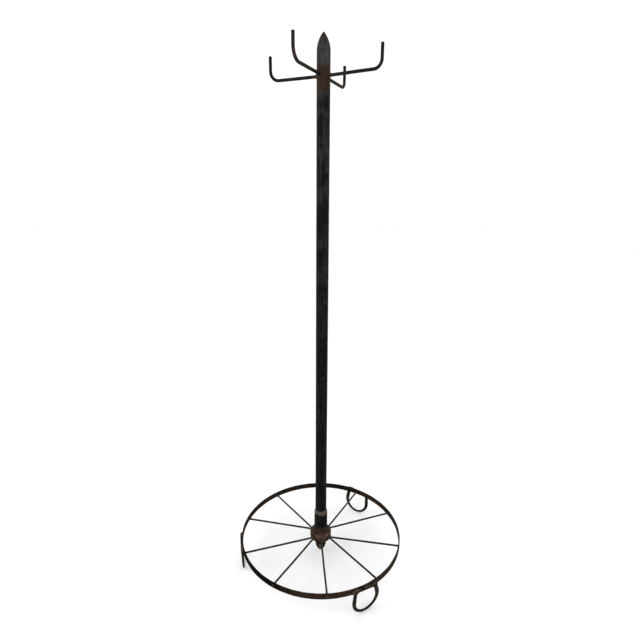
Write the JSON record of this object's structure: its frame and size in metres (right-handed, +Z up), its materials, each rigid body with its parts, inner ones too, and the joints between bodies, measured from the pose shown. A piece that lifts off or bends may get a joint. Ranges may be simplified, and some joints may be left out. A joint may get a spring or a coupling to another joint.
{
  "type": "four way clothing rack",
  "caption": "Free-standing iron clothing rack: a pointed pipe mast with upturned hook arms turns in the hub of a spoked wheel base on loop feet.",
  "frame": {"origin": "on the floor, under the axis of the mast", "axes": "+Z up along the mast; the front arm points along -Y and the right arm nearly along +X"},
  "size_m": [0.614, 0.622, 1.8487],
  "materials": {
    "black_steel": "worn black paint over steel, satin",
    "brown_steel": "black paint worn to brown rust",
    "worn_steel": "dark worn steel",
    "rusty_casting": "rough casting, brown rust",
    "weld_metal": "rough weld bead, brown rust",
    "rubbed_ring": "bare rubbed metal, tan"
  },
  "bodies": {
    "wheel_base": {"rim": "brown_steel", "hub": "rusty_casting", "socket_sleeve": "black_steel", "sleeve_weld": "weld_metal", "foot_welds": "weld_metal", "spoke_01": "worn_steel", "spoke_02": "worn_steel", "spoke_03": "worn_steel", "spoke_04": "worn_steel", "spoke_05": "worn_steel", "spoke_06": "worn_steel", "spoke_07": "worn_steel", "spoke_08": "worn_steel", "spoke_09": "worn_steel", "spoke_10": "worn_steel", "foot_front": "black_steel", "foot_back": "black_steel", "foot_left": "black_steel"},
    "mast": {"post_tube": "black_steel", "top_point": "black_steel", "lower_point": "rusty_casting", "swivel_collar": "rubbed_ring", "arm_welds": "weld_metal", "arm_front": "black_steel", "arm_right": "black_steel", "arm_back": "black_steel", "arm_left": "black_steel"}
  },
  "joints": [
    {"name": "mast_swivel", "type": "hinge", "parent": "wheel_base", "child": "mast", "pos_m": [0, 0, 0.194], "axis": [0, 0, 1], "continuous": true}
  ]
}
